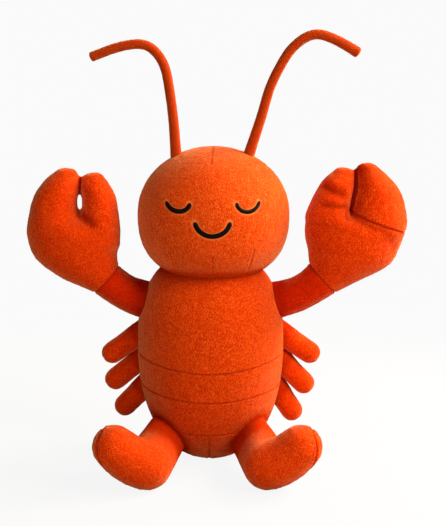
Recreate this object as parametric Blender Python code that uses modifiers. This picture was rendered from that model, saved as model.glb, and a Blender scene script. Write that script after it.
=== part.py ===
"""Plush crawfish that sits upright: fabric skins sewn in panels over stuffing, with wired antennae.

Units are metres. +Z is up, the face looks along -Y, and +X is the toy's own left. The origin is the
middle of the flat patch under the torso that the toy sits on.
"""

from math import atan2, cos, pi, radians, sin, sqrt

import bmesh
import bpy
from mathutils import Matrix, Quaternion, Vector
from mathutils.bvhtree import BVHTree

# Cloth and sewing
FABRIC = 0.0015
CLEARANCE = 0.0003

# Torso
TORSO_WIDTH = 0.1288
TORSO_DEPTH = 0.110
TORSO_HEIGHT = 0.189
TORSO_WIDEST_HEIGHT = 0.105
TORSO_LEAN = 0.008
TORSO_FULLNESS_ABOVE = 2.5
TORSO_FULLNESS_BELOW = 2.3
SEAT_PRESS = 0.0015
CHEST_SEAM_HEIGHT = 0.093
BAND_WIDTH = 0.031

# Head
HEAD_WIDTH = 0.132
HEAD_DEPTH = 0.114
HEAD_HEIGHT = 0.1152
HEAD_SIDESTEP = 0.0027
HEAD_FORWARD = 0.004
HEAD_SEATING = 0.0246
HEAD_FULLNESS_ABOVE = 2.0
HEAD_FULLNESS_BELOW = 2.4
SIDE_SEAM_BACK = 0.006

# Face
EYE_SPACING = 0.058
EYE_WIDTH = 0.0192
EYE_DROP = 0.0068
EYE_RISE = 0.0173
MOUTH_WIDTH = 0.0293
MOUTH_DROP = 0.011
MOUTH_RISE = 0.0016
STITCH_WIDTH = 0.0036
STITCH_THICKNESS = 0.0009
STITCH_LIFT = 1.3 * CLEARANCE
STITCH_END_SHARE = 0.6

# Antennae
ANTENNA_DIAMETER = 0.008
WIRE_DIAMETER = 0.002
ANTENNA_ROOT_DEPTH = 0.010

# Arms
ARM_DIAMETER = 0.0308
ARM_ROOT_SHARE = 1.08
SHOULDER_HEIGHT = 0.1448
ARM_FORWARD = 0.010
ARM_ROOT_DROP = 0.004
ELBOW_SAG = 0.0025

# Claws
CLAW_THICKNESS = 0.053
PINCER_ROOT_DEPTH = 0.014
PINCER_ROOT_SHARE = 0.72

# Small legs
LEG_DIAMETER = 0.0180
LEG_BACK = 0.004
LEG_ROOT_SHARE = 0.98

# Feet
HEEL_DIAMETER = 0.042
TOE_DIAMETER = 0.0395
SHAFT_DIAMETER = 0.036
HEEL_REACH = 0.088
HEEL_PRESS = 0.0008
SOLE_DEPTH = 0.006
HIP_HEIGHT = 0.032
HIP_SPACING = 0.070
HIP_FORWARD = 0.018
ANKLE_FOLD = 0.0035
TOE_LEAST_SHARE = 0.25

# Fineness of the faceted forms
BODY_SIDES = 24
BODY_ROWS = 14
LIMB_SIDES = 12
CLAW_SIDES = 14
LEG_SIDES = 10
SLEEVE_SIDES = 8
STITCH_SIDES = 6
STITCH_STEPS = 10
DOME_ROWS = 3
ANKLE_STEPS = 4
ROUTE_STEPS = 2

# Forms run on past the seam they are cut at by a share of their diameter
SEAM_OVERRUN_SHARE = 1 / 3
CUTTER_SIZE = 3 * TORSO_HEIGHT

RIGHT = -1
LEFT = 1
SIDE_NAMES = {RIGHT: "right", LEFT: "left"}

# Wrist, out from the torso's side and up from the shoulder
WRIST_REACH = {RIGHT: 0.0302, LEFT: 0.0382}
WRIST_RISE = {RIGHT: 0.0202, LEFT: 0.0200}
WRIST_TILT = {RIGHT: 43.0, LEFT: 42.0}

# Antenna roots, out from the head's middle, and the route from there, outwards and up
ANTENNA_OUT = {RIGHT: 0.0320, LEFT: 0.0305}
ANTENNA_ROUTES = {
    RIGHT: ((0, 0), (0.0017, 0.030), (0.0047, 0.056), (0.008, 0.073), (0.0135, 0.084), (0.0215, 0.092),
            (0.0305, 0.0945), (0.0415, 0.0935), (0.053, 0.0905), (0.0705, 0.084)),
    LEFT: ((0, 0), (0.0112, 0.032), (0.0183, 0.056), (0.027, 0.0745), (0.036, 0.0885), (0.0472, 0.0985),
           (0.058, 0.1018), (0.0695, 0.099), (0.081, 0.0935), (0.0945, 0.0855)),
}

# Claw sections from the wrist up: outwards, up, half width, half thickness as a share, tilt in degrees
PALM_SECTIONS = {
    RIGHT: ((0.0136, 0.0105, 0.0254, 0.76, 25), (0.0245, 0.026, 0.0372, 0.95, 12),
            (0.0275, 0.0412, 0.0405, 1.0, 4), (0.0350, 0.0495, 0.0325, 0.94, 0),
            (0.0418, 0.0570, 0.0240, 0.84, 0), (0.0435, 0.0655, 0.0201, 0.74, -2),
            (0.0402, 0.078, 0.0173, 0.64, -3), (0.0358, 0.0873, 0.0142, 0.5, -5),
            (0.0328, 0.0938, 0.0095, 0.30, -6)),
    LEFT: ((0.0103, 0.010, 0.0246, 0.76, 24), (0.0211, 0.0245, 0.0386, 0.95, 15),
           (0.0258, 0.0400, 0.0433, 1.0, 6), (0.0262, 0.0465, 0.0432, 0.99, 9),
           (0.0150, 0.0515, 0.0325, 0.94, 5),
           (0.0040, 0.0580, 0.0200, 0.84, 0), (0.0054, 0.0669, 0.0180, 0.74, 0),
           (0.009, 0.0778, 0.0158, 0.64, 4), (0.013, 0.0871, 0.0136, 0.5, 8),
           (0.0170, 0.0948, 0.0095, 0.30, 12)),
}
PINCER_SECTIONS = {
    RIGHT: ((0.0055, 0.0495, 0.0165, 0.72, -19), (0.0042, 0.0617, 0.0164, 0.68, -11),
            (0.0051, 0.0728, 0.0148, 0.61, -3), (0.0077, 0.0823, 0.0124, 0.5, 2),
            (0.0104, 0.0892, 0.0096, 0.34, 8)),
    LEFT: ((0.0445, 0.050, 0.0225, 0.80, 18), (0.0468, 0.0587, 0.0245, 0.80, 12),
           (0.0452, 0.0767, 0.0206, 0.72, 3), (0.0402, 0.0905, 0.0139, 0.55, -4),
           (0.0358, 0.0985, 0.0092, 0.34, -8)),
}

# Small legs: seam height on the torso, then reach and drop to the tip's centre
LEG_PLACES = {
    RIGHT: ((0.1110, 0.0232, 0.0158), (0.0868, 0.0208, 0.0165), (0.0620, 0.0155, 0.0165)),
    LEFT: ((0.1115, 0.0237, 0.0162), (0.0865, 0.0192, 0.0185), (0.0600, 0.0122, 0.0180)),
}

# Feet: heel out from the middle, then the toe out from the heel and up
HEEL_OUT = {RIGHT: 0.0530, LEFT: 0.0490}
TOE_OUT = 0.0255
TOE_RISE = 0.0205
TOE_FORWARD = 0.006

FRONT = Vector((0, -1, 0))
UP = Vector((0, 0, 1))


def clear_scene():
    for old in list(bpy.data.objects):
        bpy.data.objects.remove(old, do_unlink=True)


def collection(name):
    group = bpy.data.collections.new(name)
    bpy.context.scene.collection.children.link(group)
    return group


def finish(name, colour, roughness, metallic=0.0):
    """A plain Principled material in the piece's colour."""
    material = bpy.data.materials.new(name)
    material.use_nodes = True
    shader = material.node_tree.nodes["Principled BSDF"]
    shader.inputs["Base Color"].default_value = (*colour, 1.0)
    shader.inputs["Roughness"].default_value = roughness
    shader.inputs["Metallic"].default_value = metallic
    return material


def add_object(name, form, group, material=None, origin=None):
    """Turns a form into a named object whose own origin is the given point."""
    origin = origin or Vector((0, 0, 0))
    bmesh.ops.translate(form, verts=form.verts, vec=-origin)
    mesh = bpy.data.meshes.new(name)
    form.to_mesh(mesh)
    form.free()
    mesh.shade_smooth()
    if material:
        mesh.materials.append(material)
    piece = bpy.data.objects.new(name, mesh)
    piece.location = origin
    group.objects.link(piece)
    return piece


def add_cutter(name, form):
    cutter = add_object(name, form, CUTTERS)
    cutter.hide_render = True
    cutter.display_type = "WIRE"
    return cutter


def trim(piece, cutter):
    """Cuts a piece back to a neighbour's surface."""
    cut = piece.modifiers.new(f"clear of {cutter.name}", "BOOLEAN")
    cut.operation = "DIFFERENCE"
    cut.solver = "EXACT"
    cut.object = cutter


def add_skin(name, form, material, origin, cutters=(), thickness=None):
    """A fabric shell just inside a closed form, opened where the cutters take it away."""
    skin = add_object(name, form, TOY, material, origin)
    wall = skin.modifiers.new("fabric thickness", "SOLIDIFY")
    wall.thickness = thickness or FABRIC
    wall.offset = -1
    wall.use_even_offset = True
    for cutter in cutters:
        trim(skin, cutter)
    return skin


def add_filling(name, form, origin, cutters=()):
    """The stuffing inside a skin, a clearance away from the fabric."""
    filling = add_object(name, swell(form, -(FABRIC + CLEARANCE)), TOY, FILLING, origin)
    for cutter in cutters:
        trim(filling, cutter)
    return filling


def block_beyond(name, point, towards):
    """A cutting block that lies on one side of a plane, half a clearance short of it."""
    block = bmesh.new()
    bmesh.ops.create_cube(block, size=CUTTER_SIZE)
    turn = towards.to_track_quat("Z", "Y").to_matrix().to_4x4()
    place = Matrix.Translation(point + towards * ((CUTTER_SIZE - CLEARANCE) / 2))
    bmesh.ops.transform(block, matrix=place @ turn, verts=block.verts)
    return add_cutter(name, block)


def swell(form, distance):
    """Moves a closed form's surface outwards, or inwards where the distance is negative."""
    form.normal_update()
    moves = [vert.normal * (distance * vert.calc_shell_factor()) for vert in form.verts]
    for vert, move in zip(form.verts, moves):
        vert.co += move
    return form


def rest_on_floor(form):
    """Presses what would lie below the floor flat."""
    for vert in form.verts:
        vert.co.z = max(vert.co.z, 0.0)
    return form


def squared_radius(share, fullness):
    """Half width, as a share, of a squared-off round at a share of its half height."""
    return max(0.0, 1.0 - min(1.0, abs(share)) ** fullness) ** (1.0 / fullness)


def stuffed_round(width, depth, above, below, fullness_above, fullness_below):
    """An ellipsoid about the origin whose two halves have their own height and fullness."""
    form = bmesh.new()
    bmesh.ops.create_uvsphere(form, u_segments=BODY_SIDES, v_segments=BODY_ROWS, radius=1.0)
    for vert in form.verts:
        x, y, z = vert.co
        fullness = fullness_above if z > 0 else fullness_below
        height = above if z > 0 else below
        reach = (sqrt(x * x + y * y) ** fullness + abs(z) ** fullness) ** (-1.0 / fullness)
        vert.co = Vector((x * width / 2, y * depth / 2, z * height)) * reach
    bmesh.ops.triangulate(form, faces=form.faces)
    return form


def torso_axis(height):
    """Middle of the torso at a height: it leans forward a little towards the neck."""
    return Vector((0, -TORSO_LEAN * height / TORSO_HEIGHT, height))


def torso_half_width(height):
    if height > TORSO_WIDEST_HEIGHT:
        share = (height - TORSO_WIDEST_HEIGHT) / (TORSO_HEIGHT - TORSO_WIDEST_HEIGHT)
        return TORSO_WIDTH / 2 * squared_radius(share, TORSO_FULLNESS_ABOVE)
    share = (TORSO_WIDEST_HEIGHT - height) / (TORSO_WIDEST_HEIGHT + SEAT_PRESS)
    return TORSO_WIDTH / 2 * squared_radius(share, TORSO_FULLNESS_BELOW)


def torso_form():
    above = TORSO_HEIGHT - TORSO_WIDEST_HEIGHT
    below = TORSO_WIDEST_HEIGHT + SEAT_PRESS
    form = stuffed_round(TORSO_WIDTH, TORSO_DEPTH, above, below,
                         TORSO_FULLNESS_ABOVE, TORSO_FULLNESS_BELOW)
    for vert in form.verts:
        vert.co += torso_axis(TORSO_WIDEST_HEIGHT + vert.co.z) - Vector((0, 0, vert.co.z))
    return rest_on_floor(form)


def head_centre():
    neck = torso_axis(TORSO_HEIGHT - HEAD_SEATING)
    return neck + Vector((HEAD_SIDESTEP, -HEAD_FORWARD, HEAD_HEIGHT / 2))


def head_form():
    half = HEAD_HEIGHT / 2
    form = stuffed_round(HEAD_WIDTH, HEAD_DEPTH, half, half, HEAD_FULLNESS_ABOVE, HEAD_FULLNESS_BELOW)
    bmesh.ops.translate(form, verts=form.verts, vec=head_centre())
    return form


def section(centre, across, thick, sides):
    """Points of an oval about a centre, with its two half axes given as vectors."""
    turns = [2 * pi * step / sides for step in range(sides)]
    return [centre + across * cos(turn) + thick * sin(turn) for turn in turns]


def loft(sections):
    """A closed skin through a row of unlike ovals, with a flat face on each end."""
    form = bmesh.new()
    rings = [[form.verts.new(point) for point in ring] for ring in sections]
    for low, high in zip(rings, rings[1:]):
        for here in range(len(low)):
            there = (here + 1) % len(low)
            form.faces.new((low[here], low[there], high[there], high[here]))
    form.faces.new(rings[0])
    form.faces.new(rings[-1])
    bmesh.ops.recalc_face_normals(form, faces=form.faces)
    bmesh.ops.triangulate(form, faces=form.faces)
    return form


def headings(path):
    """Direction of travel at each point of a path."""
    last = len(path) - 1
    return [(path[min(i + 1, last)] - path[max(i - 1, 0)]).normalized() for i in range(last + 1)]


def stuffed_tube(path, radii, sides, round_ends=(False, True), along=None):
    """A tube of changing radius along a path, with a domed cap on the ends that ask for one."""
    along = along or headings(path)
    across = [along[0].cross(FRONT).normalized()]
    for before, after in zip(along, along[1:]):
        across.append(before.rotation_difference(after) @ across[-1])
    sections = []
    for centre, radius, heading, side in zip(path, radii, along, across):
        sections.append(section(centre, side * radius, side.cross(heading) * radius, sides))
    steps = [(pi / 2) * step / (DOME_ROWS + 0.5) for step in range(1, DOME_ROWS + 1)]
    for end, outwards in ((0, -1), (-1, 1)):
        if not round_ends[end]:
            continue
        side, heading, radius = across[end], along[end], radii[end]
        dome = []
        for step in steps:
            centre = path[end] + heading * (outwards * radius * sin(step))
            ring = radius * cos(step)
            dome.append(section(centre, side * ring, side.cross(heading) * ring, sides))
        sections = sections + dome if end else dome[::-1] + sections
    return loft(sections)


def smooth_path(points, steps):
    """A Catmull-Rom curve through the points, with a number of steps between each two."""
    ends = [2 * points[0] - points[1], *points, 2 * points[-1] - points[-2]]
    path = []
    for a, b, c, d in zip(ends, ends[1:], ends[2:], ends[3:]):
        for step in range(steps):
            t = step / steps
            path.append(0.5 * (2 * b + (c - a) * t + (2 * a - 5 * b + 4 * c - d) * t * t
                               + (3 * b - a - 3 * c + d) * t ** 3))
    return path + [points[-1]]


def build_torso():
    """Chest panel, two bands and a base panel over one filling, parted along level seams."""
    names = ["torso_chest_panel", "torso_upper_band", "torso_lower_band", "torso_base_panel"]
    seams = [Vector((0, 0, CHEST_SEAM_HEIGHT - BAND_WIDTH * place)) for place in range(len(names) - 1)]
    for place, name in enumerate(names):
        cutters = [] if place else [HEAD_TRIM]
        if place:
            cutters.append(block_beyond(f"above_{name}", seams[place - 1], UP))
        if place < len(seams):
            cutters.append(block_beyond(f"below_{name}", seams[place], -UP))
        add_skin(name, torso_form(), TORSO_FABRIC, torso_axis(CHEST_SEAM_HEIGHT), cutters)
    add_filling("torso_filling", torso_form(), torso_axis(CHEST_SEAM_HEIGHT), [HEAD_TRIM])


def build_head():
    """A front and a back panel that meet at the side seam, over one filling."""
    centre = head_centre()
    seam = centre - FRONT * SIDE_SEAM_BACK
    for name, towards in (("head_front_panel", -FRONT), ("head_back_panel", FRONT)):
        add_skin(name, head_form(), HEAD_FABRIC, centre, [block_beyond(f"beyond_{name}", seam, towards)])
    add_filling("head_filling", head_form(), centre)


def stitched_arc(name, middle, width, drop):
    """A raised bar of satin stitch that sags between two ends and lies on the head's front."""
    radius = ((width / 2) ** 2 + drop ** 2) / (2 * drop)
    reach = atan2(width / 2, radius - drop)
    surface = BVHTree.FromBMesh(HEAD_SURFACE)
    centre = head_centre()
    half = STITCH_THICKNESS / 2
    path = []
    for step in range(STITCH_STEPS + 1):
        turn = reach * (2 * step / STITCH_STEPS - 1)
        x = middle.x + radius * sin(turn)
        z = middle.z - drop + radius * (1 - cos(turn))
        hit, _, _, _ = surface.ray_cast(Vector((x, centre.y - HEAD_DEPTH, z)), -FRONT)
        offset = hit - centre
        out = Vector((offset.x / HEAD_WIDTH ** 2, offset.y / HEAD_DEPTH ** 2, offset.z / HEAD_HEIGHT ** 2))
        path.append((hit + out.normalized() * (STITCH_LIFT + half), out.normalized()))
    along = headings([point for point, _ in path])
    sections = []
    for step, ((point, out), heading) in enumerate(zip(path, along)):
        share = STITCH_END_SHARE if step in (0, STITCH_STEPS) else 1.0
        across = heading.cross(out) * (STITCH_WIDTH / 2 * share)
        sections.append(section(point, across, out * half, STITCH_SIDES))
    add_object(name, loft(sections), TOY, THREAD, middle)


def build_face():
    centre = head_centre()
    for side in (RIGHT, LEFT):
        middle = centre + Vector((side * EYE_SPACING / 2, -HEAD_DEPTH / 2, EYE_RISE))
        stitched_arc(f"{SIDE_NAMES[side]}_eye", middle, EYE_WIDTH, EYE_DROP)
    middle = centre + Vector((0, -HEAD_DEPTH / 2, MOUTH_RISE))
    stitched_arc("mouth", middle, MOUTH_WIDTH, MOUTH_DROP)


def build_antenna(side):
    """A narrow sleeve sewn to the top of the head, round the wire that holds its bend."""
    centre = head_centre()
    out = ANTENNA_OUT[side]
    rise = HEAD_HEIGHT / 2 * squared_radius(out / (HEAD_WIDTH / 2), HEAD_FULLNESS_ABOVE)
    root = centre + Vector((side * out, 0, rise))
    points = [root + Vector((side * x, 0, z)) for x, z in ANTENNA_ROUTES[side]]
    first = (points[1] - points[0]).normalized()
    sunk = [points[0] - first * ANTENNA_ROOT_DEPTH, *points]
    path = smooth_path(sunk, ROUTE_STEPS)
    form = stuffed_tube(path, [ANTENNA_DIAMETER / 2] * len(path), SLEEVE_SIDES, (False, False))
    flat_to_flat = ANTENNA_DIAMETER * cos(pi / SLEEVE_SIDES)
    wall = (flat_to_flat - WIRE_DIAMETER) / 2 - CLEARANCE
    name = SIDE_NAMES[side]
    add_skin(f"{name}_antenna_sleeve", form, ANTENNA_FABRIC, root, [HEAD_TRIM], wall)
    wire_path = [*path[:-1], path[-1] - (path[-1] - path[-2]).normalized() * (wall + CLEARANCE)]
    wire = stuffed_tube(wire_path, [WIRE_DIAMETER / 2] * len(path), SLEEVE_SIDES, (False, False))
    piece = add_object(f"{name}_antenna_wire", wire, TOY, WIRE, root)
    trim(piece, HEAD_TRIM)


def torso_side(side, height):
    """Point on the side of the torso at a height."""
    return torso_axis(height) + Vector((side * torso_half_width(height), 0, 0))


def wrist(side):
    """Middle of the wrist seam and the way the arm runs through it."""
    offset = Vector((side * WRIST_REACH[side], -ARM_FORWARD, WRIST_RISE[side]))
    point = torso_side(side, SHOULDER_HEIGHT) + offset
    tilt = radians(WRIST_TILT[side])
    return point, Vector((side * cos(tilt), 0, sin(tilt)))


def arm_form(side):
    point, heading = wrist(side)
    shoulder = torso_side(side, SHOULDER_HEIGHT)
    inside = shoulder - Vector((side * ARM_DIAMETER / 2, 0, ARM_ROOT_DROP))
    elbow = (shoulder + point) / 2 - UP * ELBOW_SAG
    path = [inside, shoulder, elbow, point, point + heading * (ARM_DIAMETER * SEAM_OVERRUN_SHARE)]
    root, radius = ARM_DIAMETER / 2 * ARM_ROOT_SHARE, ARM_DIAMETER / 2
    return stuffed_tube(path, [root, root, radius, radius, radius], LIMB_SIDES, (False, False))


def build_arm(side):
    point, heading = wrist(side)
    name = f"{SIDE_NAMES[side]}_arm"
    cutters = [TORSO_TRIM, block_beyond(f"beyond_{name}", point, heading)]
    add_skin(name, arm_form(side), CLAW_FABRIC, point, cutters)
    add_filling(f"{name}_filling", arm_form(side), point, cutters)


def claw_section(side, row):
    """One oval of a claw from its row of sizes, measured from the wrist."""
    out, up, half_width, thick_share, tilt = row
    point, _ = wrist(side)
    turn = radians(side * tilt)
    centre = point + Vector((side * out, 0, up))
    across = Vector((cos(turn), 0, -sin(turn))) * half_width
    return section(centre, across, FRONT * (CLAW_THICKNESS / 2 * thick_share), CLAW_SIDES)


def palm_form(side):
    point, heading = wrist(side)
    across = heading.cross(FRONT) * (ARM_DIAMETER / 2)
    thick = FRONT * (ARM_DIAMETER / 2)
    if across.x < 0:
        across = -across
    rings = [section(point - heading * (ARM_DIAMETER * SEAM_OVERRUN_SHARE), across, thick, CLAW_SIDES),
             section(point, across, thick, CLAW_SIDES)]
    rings += [claw_section(side, row) for row in PALM_SECTIONS[side]]
    return loft(rings)


def pincer_form(side):
    rows = PINCER_SECTIONS[side]
    out, up, half_width, thick_share, tilt = rows[0]
    share = PINCER_ROOT_SHARE
    root = (out, up - PINCER_ROOT_DEPTH, half_width * share, thick_share * share, tilt)
    return loft([claw_section(side, row) for row in (root, *rows)])


def build_claw(side):
    """A palm that runs into the fixed finger, and a pincer finger sewn into its upper edge."""
    point, heading = wrist(side)
    palm = f"{SIDE_NAMES[side]}_claw_palm"
    pincer = f"{SIDE_NAMES[side]}_claw_pincer"
    before_wrist = block_beyond(f"before_{palm}", point, -heading)
    palm_trim = add_cutter(f"{palm}_trim", swell(palm_form(side), CLEARANCE))
    for name, form, cutter in ((palm, palm_form, before_wrist), (pincer, pincer_form, palm_trim)):
        add_skin(name, form(side), CLAW_FABRIC, point, [cutter])
        add_filling(f"{name}_filling", form(side), point, [cutter])


def leg_root(side, height):
    """Middle of a small leg's seam on the torso."""
    return torso_side(side, height) - FRONT * LEG_BACK


def leg_form(side, height, reach, drop):
    """A short round-ended leg from inside the torso to its tip."""
    seam = leg_root(side, height)
    tip = seam + Vector((side * reach, 0, -drop))
    inside = seam - (tip - seam).normalized() * LEG_DIAMETER
    radius = LEG_DIAMETER / 2
    path = [inside, (seam + tip) / 2, tip]
    return stuffed_tube(path, [radius * LEG_ROOT_SHARE, radius, radius], LEG_SIDES)


def build_legs(side):
    """Three small legs one above another, sewn into the side of the torso."""
    for number, place in enumerate(LEG_PLACES[side], 1):
        name = f"{SIDE_NAMES[side]}_leg_{number}"
        seam = leg_root(side, place[0])
        add_skin(name, leg_form(side, *place), LEG_FABRIC, seam, [TORSO_TRIM])
        add_filling(f"{name}_filling", leg_form(side, *place), seam, [TORSO_TRIM])


def foot_points(side):
    heel = Vector((side * HEEL_OUT[side], -HEEL_REACH, HEEL_DIAMETER / 2 - HEEL_PRESS))
    toe = heel + Vector((side * TOE_OUT, -TOE_FORWARD, TOE_RISE))
    return heel, toe


def foot_form(side):
    """Shaft from the hip to the heel, bent round the ankle fold into a foot that points out and up."""
    heel, toe = foot_points(side)
    hip = Vector((side * HIP_SPACING / 2, -HIP_FORWARD, HIP_HEIGHT))
    down_leg = (heel - hip).normalized()
    along_foot = (toe - heel).normalized()
    bend = down_leg.angle(along_foot)
    turn_radius = HEEL_DIAMETER / 2 + ANKLE_FOLD
    fold = heel + (along_foot - down_leg).normalized() * turn_radius
    pivot = down_leg.cross(along_foot).normalized()
    spoke = down_leg.cross(pivot).normalized() * turn_radius
    shaft, ankle, end = SHAFT_DIAMETER / 2, HEEL_DIAMETER / 2, TOE_DIAMETER / 2
    path = [hip]
    radii = [shaft]
    along = [down_leg]
    for step in range(ANKLE_STEPS + 1):
        turn = Quaternion(pivot, bend * step / ANKLE_STEPS)
        path.append(fold + turn @ spoke)
        radii.append(ankle)
        along.append(turn @ down_leg)
    radii[1] = (shaft + ankle) / 2
    radii[-1] = (end + ankle) / 2
    run = max((toe - path[-1]).dot(along_foot), end * TOE_LEAST_SHARE)
    path.append(path[-1] + along_foot * run)
    radii.append(end)
    along.append(along_foot)
    return rest_on_floor(stuffed_tube(path, radii, LIMB_SIDES, along=along))


def build_foot(side):
    """A boot-shaped upper and a shallow sole panel over one filling."""
    heel, toe = foot_points(side)
    along = (toe - heel).normalized()
    down = (along.cross(FRONT) * side).normalized()
    seam = heel + down * (TOE_DIAMETER / 2 - SOLE_DEPTH)
    name = f"{SIDE_NAMES[side]}_foot"
    beyond_seam = block_beyond(f"beyond_{name}_seam", seam, down)
    above_seam = block_beyond(f"above_{name}_seam", seam, -down)
    add_skin(f"{name}_upper", foot_form(side), FOOT_FABRIC, heel, [TORSO_TRIM, beyond_seam])
    add_skin(f"{name}_sole", foot_form(side), FOOT_FABRIC, heel, [above_seam])
    add_filling(f"{name}_filling", foot_form(side), heel, [TORSO_TRIM])


clear_scene()
TOY = collection("plush_crawfish")
CUTTERS = collection("cutters")

HEAD_FABRIC = finish("head fabric", (0.83, 0.12, 0.016), 0.95)
TORSO_FABRIC = finish("torso fabric", (0.72, 0.075, 0.010), 0.95)
CLAW_FABRIC = finish("claw fabric", (0.75, 0.060, 0.004), 0.95)
LEG_FABRIC = finish("leg fabric", (0.66, 0.045, 0.004), 0.95)
FOOT_FABRIC = finish("foot fabric", (0.83, 0.10, 0.012), 0.95)
ANTENNA_FABRIC = finish("antenna fabric", (0.53, 0.055, 0.006), 0.95)
THREAD = finish("embroidery thread", (0.010, 0.007, 0.006), 0.45)
FILLING = finish("polyester filling", (0.86, 0.86, 0.84), 1.0)
WIRE = finish("antenna wire", (0.60, 0.60, 0.61), 0.35, 1.0)

TORSO_TRIM = add_cutter("torso_trim", swell(torso_form(), CLEARANCE))
HEAD_TRIM = add_cutter("head_trim", swell(head_form(), CLEARANCE))
HEAD_SURFACE = head_form()

build_torso()
build_head()
build_face()
for toy_side in (RIGHT, LEFT):
    build_antenna(toy_side)
    build_arm(toy_side)
    build_claw(toy_side)
    build_legs(toy_side)
    build_foot(toy_side)
HEAD_SURFACE.free()
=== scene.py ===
"""Looks of the plush crawfish: short-pile fabric panels, sewn and stuffed, with embroidered features.

Metres, +Z up, the face towards -Y and the toy's own left towards +X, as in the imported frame.
"""

from math import cos, exp, pi, radians, sin, sqrt

import bmesh
import bpy
import numpy as np
from mathutils import Matrix, Vector, noise
from mathutils.bvhtree import BVHTree


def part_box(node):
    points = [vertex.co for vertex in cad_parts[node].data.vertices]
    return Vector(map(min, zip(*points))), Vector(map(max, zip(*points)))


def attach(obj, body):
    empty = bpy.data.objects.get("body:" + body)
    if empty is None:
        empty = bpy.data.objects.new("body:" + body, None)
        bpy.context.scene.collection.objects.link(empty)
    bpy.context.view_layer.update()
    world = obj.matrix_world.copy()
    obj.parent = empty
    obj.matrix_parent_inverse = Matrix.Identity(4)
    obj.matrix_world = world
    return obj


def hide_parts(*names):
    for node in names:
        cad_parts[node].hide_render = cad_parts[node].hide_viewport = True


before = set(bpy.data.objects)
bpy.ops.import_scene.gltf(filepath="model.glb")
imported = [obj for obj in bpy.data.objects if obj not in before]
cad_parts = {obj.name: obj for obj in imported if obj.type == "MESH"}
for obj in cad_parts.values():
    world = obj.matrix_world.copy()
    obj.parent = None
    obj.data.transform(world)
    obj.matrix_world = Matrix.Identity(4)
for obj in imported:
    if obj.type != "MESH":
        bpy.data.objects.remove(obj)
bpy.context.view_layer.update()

# Torso
# A pear-shaped body cut from short-pile plush: a chest panel, two bands and a base panel, machine sewn
# edge to edge along level seams, then stuffed firmly with polyester. It sits on a flattened seat.
RIGHT, LEFT = -1, 1
SIDE_NAMES = {RIGHT: "right", LEFT: "left"}
FRONT = Vector((0, -1, 0))
torso_nodes = ["torso_chest_panel", "torso_upper_band", "torso_lower_band", "torso_base_panel"]
torso_boxes = [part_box(name) for name in torso_nodes]
TORSO_WIDTH = max(high.x - low.x for low, high in torso_boxes)
TORSO_DEPTH = 0.110
TORSO_HEIGHT = 0.189
TORSO_WIDEST_HEIGHT = 0.105
TORSO_LEAN = 0.008
TORSO_FULLNESS = (2.25, 2.42)
SEAT_PRESS = 0.0015
NECK_HEIGHT = 0.176
BAND_SEAMS = [high.z for low, high in torso_boxes[1:]]
BAND_SEAM_SHIFTS = ((-0.0025, 0.0060), (0.0018, 0.0083), (0.0005, 0.0060))
BASE_SEAM_SHIFT = -0.0012
FABRIC_GIVE = 0.0018
FILLING_PRESSURE = 4.0
SETTLING_FRAMES = 20
SKIN_STEP = 0.0036
SEWN_REACH = 0.0028
SEAT_HOLD = 0.004
TORSO_MOST_GIVE = 0.0032
TORSO_NECK_SHADE = (0.008, 0.75)
STITCH_PITCH = 0.0029
PILE_LENGTH = 0.0018
PILE_TUFT = 0.0008
STREAK_LENGTH = 0.0015
SWIRL_SIZE = 0.024
CLUMP_SIZE = 0.005


def squared_radius(share, fullness):
    """Half width, as a share, of a squared-off round at a share of its half height."""
    return max(0.0, 1.0 - min(1.0, abs(share)) ** fullness) ** (1.0 / fullness)


def stuffed_round(size, above, below, fullness, segments=64):
    """An ellipsoid about the origin, its lower and upper half each with a height and fullness."""
    form = bmesh.new()
    bmesh.ops.create_uvsphere(form, u_segments=segments, v_segments=segments // 2, radius=1.0)
    for vert in form.verts:
        x, y, z = vert.co
        power = fullness[1] if z > 0 else fullness[0]
        reach = (sqrt(x * x + y * y) ** power + abs(z) ** power) ** (-1.0 / power)
        height = above if z > 0 else below
        vert.co = Vector((x * size[0] / 2, y * size[1] / 2, z * height)) * reach
    return form


def torso_axis(height):
    """Middle of the torso at a height: it leans forward a little towards the neck."""
    return Vector((0, -TORSO_LEAN * height / TORSO_HEIGHT, height))


def torso_half_width(height):
    upper = height > TORSO_WIDEST_HEIGHT
    reach = TORSO_HEIGHT - TORSO_WIDEST_HEIGHT if upper else TORSO_WIDEST_HEIGHT + SEAT_PRESS
    share = (height - TORSO_WIDEST_HEIGHT) / reach
    return TORSO_WIDTH / 2 * squared_radius(share, TORSO_FULLNESS[upper])


def cloth_object(name, form):
    mesh = bpy.data.meshes.new(name)
    bmesh.ops.recalc_face_normals(form, faces=form.faces)
    form.to_mesh(mesh)
    form.free()
    piece = bpy.data.objects.new(name, mesh)
    bpy.context.scene.collection.objects.link(piece)
    return piece


def points(mesh):
    flat = np.empty(len(mesh.vertices) * 3, np.float32)
    mesh.vertices.foreach_get("co", flat)
    return flat.reshape(-1, 3).astype(float)


def outward(mesh):
    flat = np.empty(len(mesh.vertices) * 3, np.float32)
    mesh.vertex_normals.foreach_get("vector", flat)
    return flat.reshape(-1, 3).astype(float)


def place_points(mesh, places):
    mesh.vertices.foreach_set("co", places.astype(np.float32).ravel())
    mesh.update()


def apply_modifiers(piece):
    shown = piece.evaluated_get(bpy.context.evaluated_depsgraph_get())
    mesh = bpy.data.meshes.new_from_object(shown)
    piece.modifiers.clear()
    piece.data = mesh


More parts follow.
